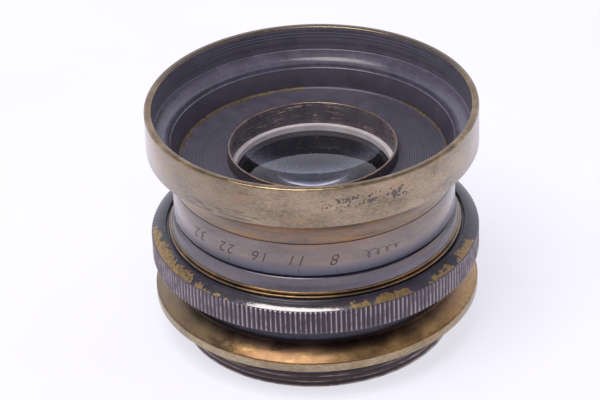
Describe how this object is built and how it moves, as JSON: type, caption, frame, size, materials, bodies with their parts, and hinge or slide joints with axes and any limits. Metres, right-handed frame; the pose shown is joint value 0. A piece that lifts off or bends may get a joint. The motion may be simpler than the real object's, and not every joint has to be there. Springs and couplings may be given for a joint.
{
  "type": "portrait lens",
  "caption": "Brass portrait lens barrel with a flared hood, knurled iris control ring, working iris blades, two cemented doublets and a flanged, threaded rear.",
  "frame": {"origin": "centre of the rear end face, on the optical axis", "axes": "+Z along the optical axis, towards the front of the lens"},
  "size_m": [0.058, 0.058, 0.043],
  "materials": {
    "polished_brass": "worn lacquered brass, polished at the edges",
    "toned_brass": "toned brass under old lacquer",
    "black_lacquer": "worn black lacquer over brass",
    "blued_steel": "blackened steel",
    "optical_glass": "polished uncoated glass"
  },
  "bodies": {
    "lens_body": {"hood": "polished_brass", "front_board": "black_lacquer", "front_cell": "black_lacquer", "front_retaining_ring": "black_lacquer", "front_crown_element": "optical_glass", "front_flint_element": "optical_glass", "barrel_tube": "toned_brass", "iris_housing": "toned_brass", "control_ring_retainer": "black_lacquer", "iris_base_plate": "toned_brass", "base_plate_screws": "blued_steel", "rear_barrel": "polished_brass", "rear_cell": "black_lacquer", "rear_retaining_ring": "black_lacquer", "rear_crown_element": "optical_glass", "rear_flint_element": "optical_glass"},
    "iris_ring": {"iris_control_ring": "black_lacquer", "iris_drive_screw": "blued_steel", "iris_drive_ring": "toned_brass"},
    "blade_1": {"iris_blade_1": "blued_steel"},
    "blade_2": {"iris_blade_2": "blued_steel"},
    "blade_3": {"iris_blade_3": "blued_steel"},
    "blade_4": {"iris_blade_4": "blued_steel"},
    "blade_5": {"iris_blade_5": "blued_steel"},
    "blade_6": {"iris_blade_6": "blued_steel"},
    "blade_7": {"iris_blade_7": "blued_steel"},
    "blade_8": {"iris_blade_8": "blued_steel"}
  },
  "joints": [
    {"name": "iris_ring_turn", "type": "hinge", "parent": "lens_body", "child": "iris_ring", "pos_m": [0, 0, 0.0164], "axis": [0, 0, 1], "range_deg": [0, 36]},
    {"name": "blade_1_swing", "type": "hinge", "parent": "lens_body", "child": "blade_1", "pos_m": [0.02, 0, 0.0141], "axis": [0, 0, 1], "range_deg": [0, 30]},
    {"name": "blade_2_swing", "type": "hinge", "parent": "lens_body", "child": "blade_2", "pos_m": [0.01414, 0.01414, 0.0141], "axis": [0, 0, 1], "range_deg": [0, 30]},
    {"name": "blade_3_swing", "type": "hinge", "parent": "lens_body", "child": "blade_3", "pos_m": [0, 0.02, 0.0141], "axis": [0, 0, 1], "range_deg": [0, 30]},
    {"name": "blade_4_swing", "type": "hinge", "parent": "lens_body", "child": "blade_4", "pos_m": [-0.01414, 0.01414, 0.0141], "axis": [0, 0, 1], "range_deg": [0, 30]},
    {"name": "blade_5_swing", "type": "hinge", "parent": "lens_body", "child": "blade_5", "pos_m": [-0.02, 0, 0.0141], "axis": [0, 0, 1], "range_deg": [0, 30]},
    {"name": "blade_6_swing", "type": "hinge", "parent": "lens_body", "child": "blade_6", "pos_m": [-0.01414, -0.01414, 0.0141], "axis": [0, 0, 1], "range_deg": [0, 30]},
    {"name": "blade_7_swing", "type": "hinge", "parent": "lens_body", "child": "blade_7", "pos_m": [0, -0.02, 0.0141], "axis": [0, 0, 1], "range_deg": [0, 30]},
    {"name": "blade_8_swing", "type": "hinge", "parent": "lens_body", "child": "blade_8", "pos_m": [0.01414, -0.01414, 0.0141], "axis": [0, 0, 1], "range_deg": [0, 30]}
  ],
  "couplings": [
    {"joint": "blade_1_swing", "follows": "iris_ring_turn", "ratio": 0.8333},
    {"joint": "blade_2_swing", "follows": "iris_ring_turn", "ratio": 0.8333},
    {"joint": "blade_3_swing", "follows": "iris_ring_turn", "ratio": 0.8333},
    {"joint": "blade_4_swing", "follows": "iris_ring_turn", "ratio": 0.8333},
    {"joint": "blade_5_swing", "follows": "iris_ring_turn", "ratio": 0.8333},
    {"joint": "blade_6_swing", "follows": "iris_ring_turn", "ratio": 0.8333},
    {"joint": "blade_7_swing", "follows": "iris_ring_turn", "ratio": 0.8333},
    {"joint": "blade_8_swing", "follows": "iris_ring_turn", "ratio": 0.8333}
  ]
}
